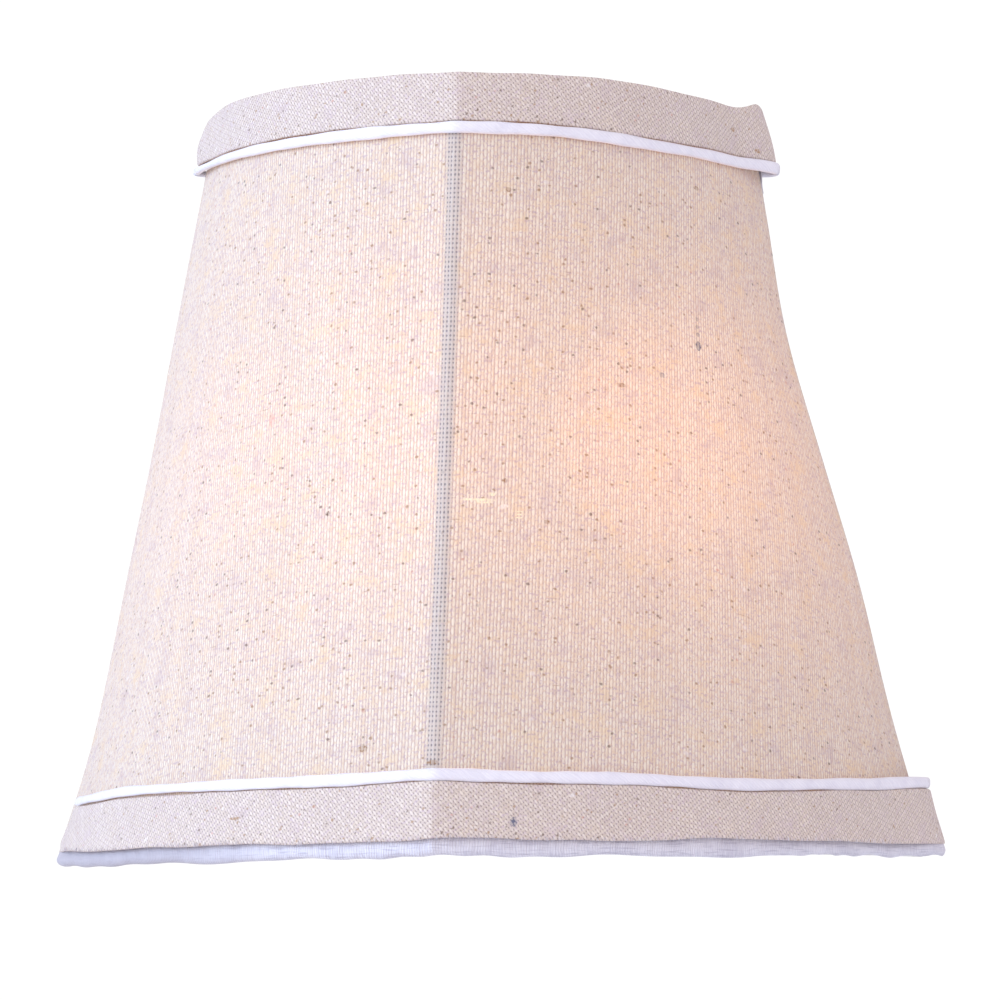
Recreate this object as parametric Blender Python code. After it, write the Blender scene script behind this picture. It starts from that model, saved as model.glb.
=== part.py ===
"""Linen half shade for a small wall light: a wire frame with a cloth cover, lining, trims and a bulb clip.

Metres, +Z up. The front rib is towards -Y, the open back is the plane y = 0, and +X is to the right.
The origin is on the surface that the shade stands on, below the middle of its overall box.
"""

import math

import bmesh
import bpy
from mathutils import Matrix, Vector

# Overall shape, measured to the centre line of the frame's wires
HEIGHT = 0.131  # from the bottom of the shade to its top
BOTTOM_HALF_WIDTH = 0.0740  # the middle to an open edge, at the bottom wire
TOP_HALF_WIDTH = 0.0445  # the same, at the top wire
BELL_SAG = 0.0020  # how far the side profile bows inwards at half height
CREASE_ANGLE = math.radians(15)  # turn of the wall away from straight across, beside the front rib
END_ANGLE = math.radians(75)  # the same, at the open edges

# Wires and cloth
WIRE_RADIUS = 0.0011
RING_PAST_STRUT = 0.0005  # how far the ring wires and their bindings run past the side struts
GAP = 0.0003  # between pieces that touch
COVER_THICKNESS = 0.0005
LINING_THICKNESS = 0.0003
BINDING_THICKNESS = 0.0003
BINDING_OVERLAP = 0.0014  # how far the binding reaches past the wire, up or down the wall
TRIM_THICKNESS = 0.0010
TRIM_HEIGHT = 0.0086
BINDING_SHOWING = 0.0029  # strip of binding left in view below the bottom trim
PIPING_RADIUS = 0.00095
COVER_TURN_IN = 0.0050  # cloth turned round an open edge, measured along the inside
TRIM_TURN_IN = 0.0040

# Bulb clip
BAR_HEIGHT = 0.066
BAR_RADIUS = 0.0011
SLEEVE_LENGTH = 0.018
SLEEVE_WALL = 0.0007
STOP_LENGTH = 0.0025
STOP_WALL = 0.0008
LUG_THICKNESS = 0.0012
LUG_REACH = 0.0072  # front edge of the lug, from the bar's centre
LUG_WIDTH = 0.0150
LOOP_WIRE_RADIUS = 0.0007
PIN_SPACING = 0.0100  # between the upright ends of the two loops
PIN_REACH = 0.0048  # those ends, from the bar's centre
RUNNING_GAP = 0.0003  # round the bar and round the loops' upright ends
BULB_RADIUS = 0.0165  # the loops stand this far from the middle
BULB_REACH = 0.0270  # the bulb's middle, from the bar's centre
LOOP_HALF_DEPTH = 0.0115
LOOP_HALF_HEIGHT = 0.0140
LOOP_OPENING = 20  # degrees left open on each side of the loop's end nearest the lug
ARM_BEND = (0.0012, -0.0028, 0.0010)  # first bend of the arm, out, forwards and up from the upright end
ARM_REACH = (0.0042, -0.0072, 0.0)  # the same, where the arm meets the loop

# How finely curved shapes are divided
ARC_STEPS = 12  # along each half of the wall
TURN_STEPS = 6  # round an open edge
LEVELS = 8  # up the wall
ROUND_SIDES = 32
LOOP_STEP = 20  # degrees between the loop's points
SMOOTH_STEPS = 2  # pieces between the points of the loop wire
WIRE_FINENESS = 2  # bevel resolution of a wire
SHARP_ANGLE = math.radians(40)  # an edge turned more than this is drawn sharp

WIRE_INSET = BINDING_THICKNESS + GAP + WIRE_RADIUS  # the ring wires' centres, from the shade's ends
BOTTOM_WIRE_LEVEL = WIRE_INSET
TOP_WIRE_LEVEL = HEIGHT - WIRE_INSET
BINDING_INNER = WIRE_RADIUS + GAP
BINDING_OUTER = BINDING_INNER + BINDING_THICKNESS
BINDING_HEIGHT = WIRE_INSET + WIRE_RADIUS + BINDING_OVERLAP
CLOTH_LOW = BINDING_HEIGHT + GAP
CLOTH_HIGH = HEIGHT - BINDING_HEIGHT - GAP
COVER_INNER = WIRE_RADIUS + GAP
COVER_OUTER = COVER_INNER + COVER_THICKNESS
LINING_OUTER = -WIRE_RADIUS - GAP
LINING_INNER = LINING_OUTER - LINING_THICKNESS
TRIM_INNER = COVER_OUTER + GAP
TRIM_OUTER = TRIM_INNER + TRIM_THICKNESS
PIPING_OFFSET = COVER_OUTER + GAP + PIPING_RADIUS
BOTTOM_TRIM_LOW = BINDING_SHOWING
BOTTOM_TRIM_HIGH = BOTTOM_TRIM_LOW + TRIM_HEIGHT
TOP_TRIM_LOW = HEIGHT - TRIM_HEIGHT


# The wall's plan is an arc on each side of the rib. Its radius and depth, for each unit of half width
RADIUS_SHARE = 1 / (math.sin(END_ANGLE) - math.sin(CREASE_ANGLE))
DEPTH_SHARE = RADIUS_SHARE * (math.cos(CREASE_ANGLE) - math.cos(END_ANGLE))
FRONT_REACH = DEPTH_SHARE * BOTTOM_HALF_WIDTH + TRIM_OUTER / math.cos(CREASE_ANGLE)
BACK_REACH = PIPING_OFFSET + PIPING_RADIUS
BACK_Y = (FRONT_REACH - BACK_REACH) / 2  # the side struts' plane, which centres the box on the origin

LINEN = (0.78, 0.66, 0.55)
TRIM_LINEN = (0.66, 0.56, 0.47)
WHITE_SATIN = (0.86, 0.86, 0.90)
STEEL = (0.72, 0.70, 0.64)
LINEN_ROUGHNESS = 0.9
SATIN_ROUGHNESS = 0.45
STEEL_ROUGHNESS = 0.35


def clear_scene():
    for thing in list(bpy.data.objects):
        bpy.data.objects.remove(thing, do_unlink=True)


def material(name, colour, roughness, metallic=0.0):
    made = bpy.data.materials.new(name)
    made.use_nodes = True
    shader = made.node_tree.nodes["Principled BSDF"]
    shader.inputs["Base Color"].default_value = (*colour, 1.0)
    shader.inputs["Roughness"].default_value = roughness
    shader.inputs["Metallic"].default_value = metallic
    return made


def half_width(level):
    """Half the width of the wall's middle surface at a height, with the bell's inward bow."""
    share = (level - BOTTOM_WIRE_LEVEL) / (TOP_WIRE_LEVEL - BOTTOM_WIRE_LEVEL)
    straight = BOTTOM_HALF_WIDTH + (TOP_HALF_WIDTH - BOTTOM_HALF_WIDTH) * share
    return straight - 4 * BELL_SAG * share * (1 - share)


def arc_angle(length, level):
    """The turn of the plan that a length along the wall takes up."""
    return length / (RADIUS_SHARE * half_width(level))


def rib_point(level, offset=0.0):
    """A point on the crease, offset outwards with both halves of the wall mitred."""
    depth = DEPTH_SHARE * half_width(level) + offset / math.cos(CREASE_ANGLE)
    return Vector((0, BACK_Y - depth, level))


def wall_point(angle, level, offset=0.0):
    """A point of the right half of the wall, where its plan has turned by angle, offset outwards."""
    radius = RADIUS_SHARE * half_width(level)
    x = radius * (math.sin(angle) - math.sin(CREASE_ANGLE)) + offset * math.sin(angle)
    y = radius * (math.cos(END_ANGLE) - math.cos(angle)) - offset * math.cos(angle)
    return Vector((x, BACK_Y + y, level))


def edge_point(turn, level, offset):
    """A point on the way round the right open edge, from the wall's outside at turn 0 to its inside at pi."""
    angle = END_ANGLE + turn
    x = half_width(level) + offset * math.sin(angle)
    return Vector((x, BACK_Y - offset * math.cos(angle), level))


def mirrored(points):
    """The whole width, left end to right end, from the right half's points, which start on the crease."""
    left = [Vector((-p.x, p.y, p.z)) for p in reversed(points[1:])]
    return left + points


def wall_path(level, offset, end_angle=END_ANGLE):
    """Points along the wall at one height, from open edge to open edge."""
    step = (end_angle - CREASE_ANGLE) / ARC_STEPS
    right = [wall_point(CREASE_ANGLE + step * i, level, offset) for i in range(1, ARC_STEPS + 1)]
    return mirrored([rib_point(level, offset)] + right)


def turned_path(level, offset, turn_in):
    """The same, then round each open edge and back along the inside for the length turn_in."""
    right = wall_path(level, offset)[ARC_STEPS:]
    right += [edge_point(math.pi * i / TURN_STEPS, level, offset) for i in range(1, TURN_STEPS)]
    leg = arc_angle(turn_in, level)
    right += [wall_point(END_ANGLE - leg * i / 2, level, -offset) for i in range(3)]
    return mirrored(right)


def finish_object(name, mesh, finish):
    mesh.shade_smooth()
    mesh.set_sharp_from_angle(angle=SHARP_ANGLE)
    mesh.materials.append(finish)
    made = bpy.data.objects.new(name, mesh)
    bpy.context.scene.collection.objects.link(made)
    return made


def loft(name, outers, inners, finish):
    """A closed shell between two grids of points, rows running the same way. All its rim is closed."""
    body = bmesh.new()
    rows = len(outers)
    columns = len(outers[0])
    outer = [[body.verts.new(p) for p in row] for row in outers]
    inner = [[body.verts.new(p) for p in row] for row in inners]
    for r in range(rows - 1):
        for c in range(columns - 1):
            body.faces.new((outer[r][c], outer[r][c + 1], outer[r + 1][c + 1], outer[r + 1][c]))
            body.faces.new((inner[r][c], inner[r + 1][c], inner[r + 1][c + 1], inner[r][c + 1]))
        for c in (0, columns - 1):
            body.faces.new((outer[r][c], outer[r + 1][c], inner[r + 1][c], inner[r][c]))
    for c in range(columns - 1):
        for r in (0, rows - 1):
            body.faces.new((outer[r][c], outer[r][c + 1], inner[r][c + 1], inner[r][c]))
    bmesh.ops.recalc_face_normals(body, faces=body.faces)
    mesh = bpy.data.meshes.new(name)
    body.to_mesh(mesh)
    body.free()
    return finish_object(name, mesh, finish)


def heights(low, high, steps):
    return [low + (high - low) * i / steps for i in range(steps + 1)]


def turned_sheet(name, low, high, inner, outer, turn_in, steps, finish):
    """Cloth on the outside of the wall, turned in round both open edges."""
    levels = heights(low, high, steps)
    outers = [turned_path(level, outer, turn_in) for level in levels]
    inners = [turned_path(level, inner, turn_in) for level in levels]
    return loft(name, outers, inners, finish)


def inside_sheet(name, low, high, inner, outer, end_inset, steps, finish):
    """Cloth on the inside of the wall, which stops short of both open edges."""
    outers = []
    inners = []
    for level in heights(low, high, steps):
        end_angle = END_ANGLE - arc_angle(end_inset, level)
        outers.append(wall_path(level, outer, end_angle))
        inners.append(wall_path(level, inner, end_angle))
    return loft(name, outers, inners, finish)


def binding_section(reach):
    """Half an octagon round the wire with legs up the wall, as (offset, height above the shade's end)."""
    corner = reach * math.tan(math.pi / 8)
    right = [(reach, BINDING_HEIGHT), (reach, WIRE_INSET - corner), (corner, WIRE_INSET - reach)]
    return right + [(-offset, height) for offset, height in reversed(right)]


def binding(name, at_top, finish):
    """The strip wrapped round a ring wire. Its end face is flat, so that the shade can stand on it."""
    grids = []
    for reach in (BINDING_OUTER, BINDING_INNER):
        rows = []
        for offset, height in binding_section(reach):
            level = HEIGHT - height if at_top else height
            end_angle = END_ANGLE + arc_angle(RING_PAST_STRUT, level)
            rows.append(wall_path(level, offset, end_angle))
        grids.append(rows)
    return loft(name, grids[0], grids[1], finish)


def wire(name, points, radius, finish):
    """A round wire or cord through the points, with flat ends."""
    curve = bpy.data.curves.new(name, "CURVE")
    curve.dimensions = "3D"
    curve.bevel_depth = radius
    curve.bevel_resolution = WIRE_FINENESS
    curve.use_fill_caps = True
    spline = curve.splines.new("POLY")
    spline.points.add(len(points) - 1)
    for spot, point in zip(spline.points, points):
        spot.co = (*point, 1.0)
    curve.materials.append(finish)
    made = bpy.data.objects.new(name, curve)
    bpy.context.scene.collection.objects.link(made)
    return made


def build_frame(steel):
    for name, level in (("bottom_wire", BOTTOM_WIRE_LEVEL), ("top_wire", TOP_WIRE_LEVEL)):
        end_angle = END_ANGLE + arc_angle(RING_PAST_STRUT, level)
        wire(name, wall_path(level, 0.0, end_angle), WIRE_RADIUS, steel)
    clear_of_wire = WIRE_RADIUS + GAP
    levels = heights(BOTTOM_WIRE_LEVEL + clear_of_wire, TOP_WIRE_LEVEL - clear_of_wire, LEVELS)
    wire("center_rib", [rib_point(level) for level in levels], WIRE_RADIUS, steel)
    strut = [wall_point(END_ANGLE, level) for level in levels]
    wire("right_side_strut", strut, WIRE_RADIUS, steel)
    wire("left_side_strut", [Vector((-p.x, p.y, p.z)) for p in strut], WIRE_RADIUS, steel)


def build_cloth(linen, trim_linen, satin):
    cover = turned_sheet(
        "linen_cover", CLOTH_LOW, CLOTH_HIGH, COVER_INNER, COVER_OUTER, COVER_TURN_IN, LEVELS, linen
    )
    lining_inset = COVER_TURN_IN + GAP
    inside_sheet(
        "lining", CLOTH_LOW, CLOTH_HIGH, LINING_INNER, LINING_OUTER, lining_inset, LEVELS, satin
    )
    binding("bottom_binding", False, satin)
    binding("top_binding", True, satin)
    clear_of_trim = GAP + PIPING_RADIUS
    for name, low, piping_level in (
        ("bottom", BOTTOM_TRIM_LOW, BOTTOM_TRIM_HIGH + clear_of_trim),
        ("top", TOP_TRIM_LOW, TOP_TRIM_LOW - clear_of_trim),
    ):
        high = low + TRIM_HEIGHT
        turned_sheet(
            name + "_trim", low, high, TRIM_INNER, TRIM_OUTER, TRIM_TURN_IN, 2, trim_linen
        )
        path = turned_path(piping_level, PIPING_OFFSET, TRIM_TURN_IN)
        wire(name + "_piping", path, PIPING_RADIUS, satin)
    return cover


def cylinder_mesh(name, radius, length, axis):
    """A round bar along X or Z, centred on its own origin."""
    body = bmesh.new()
    turn = Matrix.Rotation(math.pi / 2, 4, "Y") if axis == "X" else Matrix.Identity(4)
    bmesh.ops.create_cone(
        body, cap_ends=True, segments=ROUND_SIDES, radius1=radius, radius2=radius, depth=length,
        matrix=turn,
    )
    mesh = bpy.data.meshes.new(name)
    body.to_mesh(mesh)
    body.free()
    return mesh


def helper(name, mesh, location):
    """A shape that only cuts or adds to another, and isn't a piece itself."""
    made = bpy.data.objects.new(name, mesh)
    made.location = location
    made.hide_render = True
    made.display_type = "WIRE"
    bpy.context.scene.collection.objects.link(made)
    return made


def combine(target, other, operation):
    modifier = target.modifiers.new(other.name, "BOOLEAN")
    modifier.operation = operation
    modifier.solver = "EXACT"
    modifier.object = other


def tube(name, inner, outer, length, centre, finish):
    made = finish_object(name, cylinder_mesh(name, outer, length, "X"), finish)
    made.location = centre
    bore = helper(name + "_bore", cylinder_mesh(name + "_bore", inner, 2 * length, "X"), centre)
    combine(made, bore, "DIFFERENCE")
    return made


def block_mesh(name, size, centre=(0, 0, 0)):
    """A rectangular block of the given size, centred there."""
    body = bmesh.new()
    bmesh.ops.create_cube(body, size=1.0)
    bmesh.ops.scale(body, vec=size, verts=body.verts)
    bmesh.ops.translate(body, vec=centre, verts=body.verts)
    mesh = bpy.data.meshes.new(name)
    body.to_mesh(mesh)
    body.free()
    return mesh


def smooth_through(points, steps):
    """Points along a smooth curve that passes through every given point."""
    padded = [2 * points[0] - points[1]] + points + [2 * points[-1] - points[-2]]
    found = []
    for before, start, end, after in zip(padded, padded[1:], padded[2:], padded[3:]):
        for i in range(steps):
            t = i / steps
            found.append(
                0.5
                * (
                    2 * start
                    + (end - before) * t
                    + (2 * before - 5 * start + 4 * end - after) * t**2
                    + (3 * start - before - 3 * end + after) * t**3
                )
            )
    return found + [points[-1]]


def loop_points(side, axis_point):
    """An upright end in the lug, an arm forwards, and an open loop that lies against a round bulb."""
    below = LUG_THICKNESS / 2 + LOOP_WIRE_RADIUS
    above = LUG_THICKNESS / 2 + 2 * LOOP_WIRE_RADIUS
    pin_x = PIN_SPACING / 2
    points = [(pin_x, -PIN_REACH, -below), (pin_x, -PIN_REACH, 0), (pin_x, -PIN_REACH, above)]
    for out, forwards, up in (ARM_BEND, ARM_REACH):
        points.append((pin_x + out, -PIN_REACH + forwards, above + up))
    for degrees in range(LOOP_OPENING, 361 - LOOP_OPENING, LOOP_STEP):
        turn = math.radians(degrees)
        along = LOOP_HALF_DEPTH * math.cos(turn)
        out = math.sqrt(BULB_RADIUS**2 - along**2)
        points.append((out, along - BULB_REACH, LOOP_HALF_HEIGHT * math.sin(turn)))
    route = [axis_point + Vector((side * x, y, z)) for x, y, z in points]
    return smooth_through(route, SMOOTH_STEPS)


def build_clip(cover, steel):
    bar_centre = Vector((0, BACK_Y, BAR_HEIGHT))
    strut_x = half_width(BAR_HEIGHT)
    # The struts lean inwards, so the bar's ends keep their gap at the bar's top
    bar_length = 2 * (half_width(BAR_HEIGHT + BAR_RADIUS) - WIRE_RADIUS - GAP)
    bar = finish_object("clip_bar", cylinder_mesh("clip_bar", BAR_RADIUS, bar_length, "X"), steel)
    bar.location = bar_centre

    # The bar passes through a slit in the cloth turned in at each open edge, up to the strut
    slit_width = 2 * (BAR_RADIUS + GAP)
    slit_mesh = block_mesh("bar_slit", (2 * strut_x, slit_width, slit_width))
    combine(cover, helper("bar_slit", slit_mesh, bar_centre), "DIFFERENCE")

    bore = BAR_RADIUS + RUNNING_GAP
    sleeve_outer = bore + SLEEVE_WALL
    sleeve = finish_object(
        "clip_sleeve", cylinder_mesh("clip_sleeve", sleeve_outer, SLEEVE_LENGTH, "X"), steel
    )
    sleeve.location = bar_centre
    lug_size = (LUG_WIDTH, LUG_REACH, LUG_THICKNESS)
    lug_mesh = block_mesh("sleeve_lug", lug_size, (0, -LUG_REACH / 2, 0))
    combine(sleeve, helper("sleeve_lug", lug_mesh, bar_centre), "UNION")
    bore_mesh = cylinder_mesh("sleeve_bore", bore, 2 * SLEEVE_LENGTH, "X")
    combine(sleeve, helper("sleeve_bore", bore_mesh, bar_centre), "DIFFERENCE")
    stop_place = (SLEEVE_LENGTH + STOP_LENGTH) / 2 + GAP
    for side, word in ((-1, "left"), (1, "right")):
        pin = bar_centre + Vector((side * PIN_SPACING / 2, -PIN_REACH, 0))
        hole_mesh = cylinder_mesh("hole", LOOP_WIRE_RADIUS + RUNNING_GAP, 3 * LUG_THICKNESS, "Z")
        combine(sleeve, helper(word + "_lug_hole", hole_mesh, pin), "DIFFERENCE")
        loop = wire(
            word + "_clip_loop", loop_points(side, bar_centre), LOOP_WIRE_RADIUS, steel
        )
        collar = bar_centre + Vector((side * stop_place, 0, 0))
        tube(word + "_clip_stop", bore, bore + STOP_WALL, STOP_LENGTH, collar, steel)


def main():
    clear_scene()
    steel = material("plated_steel_wire", STEEL, STEEL_ROUGHNESS, 1.0)
    linen = material("natural_linen", LINEN, LINEN_ROUGHNESS)
    trim_linen = material("bias_linen", TRIM_LINEN, LINEN_ROUGHNESS)
    satin = material("white_satin", WHITE_SATIN, SATIN_ROUGHNESS)
    build_frame(steel)
    cover = build_cloth(linen, trim_linen, satin)
    build_clip(cover, steel)


main()
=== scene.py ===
import math

import bmesh
import bpy
import numpy as np
from mathutils import Matrix, Vector


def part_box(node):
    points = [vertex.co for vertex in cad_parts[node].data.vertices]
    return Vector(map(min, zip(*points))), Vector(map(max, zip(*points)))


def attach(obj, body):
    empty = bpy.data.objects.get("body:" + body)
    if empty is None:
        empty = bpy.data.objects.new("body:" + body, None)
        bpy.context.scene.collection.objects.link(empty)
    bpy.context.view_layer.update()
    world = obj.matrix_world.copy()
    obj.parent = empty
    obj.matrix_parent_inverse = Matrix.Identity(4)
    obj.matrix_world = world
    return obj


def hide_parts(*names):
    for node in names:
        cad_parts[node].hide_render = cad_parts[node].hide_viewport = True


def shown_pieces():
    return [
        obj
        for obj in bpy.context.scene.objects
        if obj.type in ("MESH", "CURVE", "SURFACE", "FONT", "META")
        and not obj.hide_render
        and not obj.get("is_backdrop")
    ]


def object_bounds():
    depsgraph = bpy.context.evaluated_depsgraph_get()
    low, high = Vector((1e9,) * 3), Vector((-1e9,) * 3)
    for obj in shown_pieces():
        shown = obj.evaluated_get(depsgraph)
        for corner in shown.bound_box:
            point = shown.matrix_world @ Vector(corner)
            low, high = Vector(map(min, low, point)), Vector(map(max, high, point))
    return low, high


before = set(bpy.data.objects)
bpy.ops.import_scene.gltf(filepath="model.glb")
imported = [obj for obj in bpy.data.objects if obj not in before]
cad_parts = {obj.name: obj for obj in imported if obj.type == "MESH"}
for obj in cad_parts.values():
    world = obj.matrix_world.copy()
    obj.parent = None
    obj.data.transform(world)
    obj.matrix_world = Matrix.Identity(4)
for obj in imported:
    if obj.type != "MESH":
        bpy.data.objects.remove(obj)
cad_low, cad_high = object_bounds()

# The wall, as the frame has it: lengths in metres, to the middle of the frame's wires
CREASE_ANGLE = math.radians(15)
END_ANGLE = math.radians(75)
BOTTOM_HALF_WIDTH = 0.0740
TOP_HALF_WIDTH = 0.0445
BELL_SAG = 0.0020
WIRE_RADIUS = 0.0011
RADIUS_SHARE = 1 / (math.sin(END_ANGLE) - math.sin(CREASE_ANGLE))


def middle(node):
    low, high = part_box(node)
    return (low + high) / 2


BAR = middle("clip_bar")
BACK_Y = BAR.y
HEIGHT = cad_high.z - cad_low.z
BOTTOM_LEVEL = middle("bottom_wire").z
TOP_LEVEL = middle("top_wire").z
CLOTH_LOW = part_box("linen_cover")[0].z
CLOTH_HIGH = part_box("linen_cover")[1].z

# Cloth thicknesses, and how far each layer stands out from the wires' middle
COVER_OFFSET = 0.00165
COVER_THICKNESS = 0.00045
COVER_HOLLOW = 0.0003
LINING_OFFSET = -0.00155
LINING_THICKNESS = 0.00025
TRIM_FACE_OFFSET = 0.0027
TRIM_UNDER_OFFSET = 0.00225
TRIM_THICKNESS = 0.0003
PIPING_OFFSET = 0.0027
BINDING_REACH = 0.00145
BINDING_THICKNESS = 0.00025
COVER_TURN_IN = 0.0050
TRIM_TURN_IN = 0.0040
LINING_SHORT = 0.055  # how far short of the side edges the lining ends, in radians of the plan
SLANT_SHARE = 1.027  # the wall's slant height to its upright height

# How finely the sheets are made: columns at a corner, round an edge and along what is turned in
CORNER_COLUMNS = 5
EDGE_COLUMNS = 11
LEG_COLUMNS = 6
COVER_ROWS = 110
LINING_ROWS = 90
COVER_STEP = math.radians(0.8)
LINING_STEP = math.radians(1.0)
TRIM_STEP = math.radians(0.7)
PIPING_STEP = math.radians(0.5)
BINDING_STEP = math.radians(0.35)
WIRE_STEP = math.radians(1.5)
SHARP_ANGLE = math.radians(60)
CLOTH_MAP = "cloth_mm"
MM = 1000.0

# How far the strips' ends stand past the cover's edge. The right ones have it at their low and high edge, and
# the left ones are rounded by start + steady * share + curved * share**2, with share going up the strip.
RIGHT_PROUD = {"top": (0.0025, 0.0016), "bottom": (0.0017, 0.0018)}
LEFT_PROUD = {"top": 0.0020, "bottom": -0.0012}
LEFT_ROUNDING = {"top": (0.40, 1.20, -1.35), "bottom": (0.40, 1.20, -0.90)}
CORNER_ROUND = {"top": 0.0, "bottom": 0.0007}
CORNER_ROUND_SHARE = 0.28
PROUD_SPREAD = 0.16
BINDING_PROUD = 0.0027
BINDING_PROUD_SPREAD = 0.14

# Where the strips' edges rise and sink along x: an amount, then where it starts and where it is whole
TOP_PIPING_FALL = (0.0007, 0.012, 0.035)
BOTTOM_LEFT_FALL = (0.0009, 0.055, 0.070)
BOTTOM_RIGHT_RISE = (0.0007, 0.066, 0.074)
TOP_KNOB_END = (0.0010, TOP_HALF_WIDTH + 0.0015, TOP_HALF_WIDTH + 0.0028)
TOP_SHOULDER = (0.0010, TOP_HALF_WIDTH - 0.002, TOP_HALF_WIDTH + 0.004)
BINDING_RAGGED = (0.00016, 0.045, 0.070)
BINDING_TUCK = (0.0005, 0.050, 0.066)
# The same for a hump: an amount, then its middle and its spread
BOTTOM_DIP = (0.0008, 0.048, 0.014)
BOTTOM_RIB_RISE = (0.0005, 0, 0.010)
TOP_KNOB = (0.0016, TOP_HALF_WIDTH + 0.0024, 0.0015)
TOP_RIB_DIP = (0.0004, 0, 0.010)
TOP_EDGE_DROP = 0.0002
# Waves: amplitude, frequency and start
LOW_EDGE_WAVES = ((0.0002, 140, 1), (0.00010, 330, 0))
STRIP_PUCKER = 0.00007
BINDING_GRAIN = 0.00006
TRIM_RETURN = 0.0024  # what is turned under at both long edges
BINDING_INNER_LEG = 0.0016  # how much further up the inside the binding goes
BINDING_STEP_IN = 0.0014
BINDING_OVERHANG = 0.008
WIRE_OVERHANG = 0.006
WIRE_CLEARANCE = 0.0002

# The piping's flat-sided cord
PIPING_HALF_HEIGHT = 0.00100
PIPING_HALF_DEPTH = 0.00062
PIPING_WAVES = ((0.00006, 300, 0), (0.00004, 900, 2))
PIPING_DEPTH_WAVES = ((0.00004, 500, 1),)
PIPING_SQUARENESS = 0.8
PIPING_SIDES = 16
PIPING_SEAM_DROP = 0.0006
PIPING_THINNED = {"bottom": (0.0002, 0.020, 0.050), "top": (0.0004, 0.020, 0.050)}

# The lining tape round the right edge
TAPE_OFFSET = 0.00215
TAPE_THICKNESS = 0.0002
TAPE_LOW = 0.1162
TAPE_HIGH = 0.1264
TAPE_START = 0.45
TAPE_LEG = 0.0052
TAPE_WAVE = 0.0002

# The fibres at the bottom trim's low edge
FRAY_FIBRES = 300
FRAY_RADIUS = 0.000035
FRAY_TALLEST = 0.0007
FRAY_SHORTEST = 0.0001
FRAY_SLANT = 0.006
FRAY_ROOT = 0.0003  # how far below the trim's edge each one starts
FRAY_STAND_OFF = 0.00022
FRAY_LEAN_OUT = 0.00012

# The bends and leanings of a frame soldered by hand
RIB_LEAN_FOOT = -0.0001
RIB_LEAN_TOP = 0.0019
RIB_LEAN_SPREAD = 0.035
RIM_TILT = 0.0006
RIM_DIP = 0.0008
RIM_DIP_START = 0.022
RIM_DIP_FULL = 0.040
CORNER_DIP = 0.0003
CORNER_DIP_SPREAD = 0.0030
LEFT_END_LIFT = 0.0014
RIGHT_END_LIFT = 0.0006
SIDE_BENDS = (  # side, height, spread, how far outwards
    (1, 0.092, 0.016, -0.0010),
    (1, 0.048, 0.018, 0.0009),
    (-1, 0.020, 0.024, -0.0014),
    (-1, 0.100, 0.028, 0.0006),
)


def smooth(value, low, high):
    """0 before low, 1 past high, and an even curve between them."""
    share = np.clip((value - low) / (high - low), 0, 1)
    return share * share * (3 - 2 * share)


def hump(value, centre, spread):
    return np.exp(-(((value - centre) / spread) ** 2))


def slope(x, part):
    amount, low, high = part
    return amount * smooth(x, low, high)


def knoll(x, part):
    amount, centre, spread = part
    return amount * hump(x, centre, spread)


def waves(x, parts):
    """A sum of sine waves along x, each an amplitude, a frequency and a start."""
    return sum(amplitude * np.sin(x * frequency + start) for amplitude, frequency, start in parts)


def half_width(level):
    share = (level - BOTTOM_LEVEL) / (TOP_LEVEL - BOTTOM_LEVEL)
    straight = BOTTOM_HALF_WIDTH + (TOP_HALF_WIDTH - BOTTOM_HALF_WIDTH) * share
    return straight - 4 * BELL_SAG * share * (1 - share)


def settled(points):
    """Points of the shade as designed, moved to where the hand-made frame holds them."""
    x, y, z = np.moveaxis(np.asarray(points, float), -1, 0)
    width = half_width(np.clip(z, BOTTOM_LEVEL, TOP_LEVEL))
    share = np.clip(z / HEIGHT, 0, 1)
    lean = RIB_LEAN_FOOT + (RIB_LEAN_TOP - RIB_LEAN_FOOT) * share
    moved = x + lean * hump(x, 0, RIB_LEAN_SPREAD)
    for side, height, spread, outwards in SIDE_BENDS:
        reach = np.clip(side * x / width, 0, 1.2) ** 2
        moved = moved + side * outwards * hump(z, height, spread) * reach
    lifted = z - RIM_TILT * (x / TOP_HALF_WIDTH) * share**3
    corner = hump(x, TOP_HALF_WIDTH - 0.0005, CORNER_DIP_SPREAD)
    dip = RIM_DIP * smooth(x, RIM_DIP_START, RIM_DIP_FULL) + CORNER_DIP * corner
    lifted = lifted - dip * share**8
    end_lift = np.where(x < 0, LEFT_END_LIFT, RIGHT_END_LIFT)
    lifted = lifted + end_lift * np.abs(x / BOTTOM_HALF_WIDTH) ** 4 * (1 - share) ** 6
    return np.stack([moved, y, lifted], -1)


def placed(angle, facing, level, offset):
    """Points of the wall. angle is the plan's turn, minus on the left; facing is 1 outside, -1 inside."""
    turn = np.abs(angle)
    side = np.sign(angle)
    held = np.clip(turn, CREASE_ANGLE, END_ANGLE)
    radius = RADIUS_SHARE * half_width(level)
    x = radius * (np.sin(held) - math.sin(CREASE_ANGLE)) + facing * offset * np.sin(turn)
    y = radius * (math.cos(END_ANGLE) - np.cos(held)) - facing * offset * np.cos(turn)
    return np.stack(np.broadcast_arrays(side * x, BACK_Y + y, level), -1)


def out_of_wall(turn):
    """The level direction out of the wall, for each plan turn."""
    return np.stack([np.sin(turn), -np.cos(turn), np.zeros_like(turn)], -1)


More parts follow.
